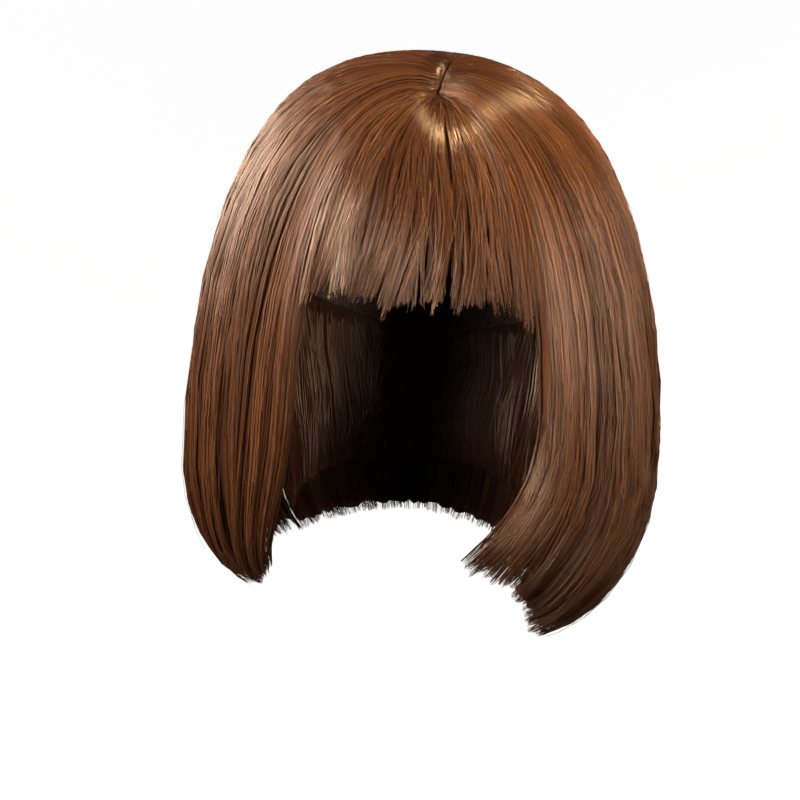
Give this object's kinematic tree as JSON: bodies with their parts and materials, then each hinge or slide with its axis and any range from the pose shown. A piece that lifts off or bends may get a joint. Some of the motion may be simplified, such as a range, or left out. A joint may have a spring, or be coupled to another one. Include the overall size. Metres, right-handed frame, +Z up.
{
  "type": "bob wig",
  "caption": "Chin-length bob wig with a full fringe, a short parting and ends turned under, worn on the head as a costume or fashion hairpiece.",
  "frame": {"origin": "the inside of the cap's crown, where the top of the head meets it", "axes": "+Z up, -Y towards the face, +X towards the wearer's left"},
  "size_m": [0.2626, 0.2402, 0.3188],
  "materials": {
    "hair": "satin",
    "cap_net": "matte",
    "parting_skin": "matte"
  },
  "bodies": {
    "root": {"fringe": "hair", "front_lock_left": "hair", "side_left": "hair", "back": "hair", "side_right": "hair", "front_lock_right": "hair", "nape_layer": "hair", "wig_cap": "cap_net", "parting_strip": "parting_skin"}
  },
  "joints": []
}
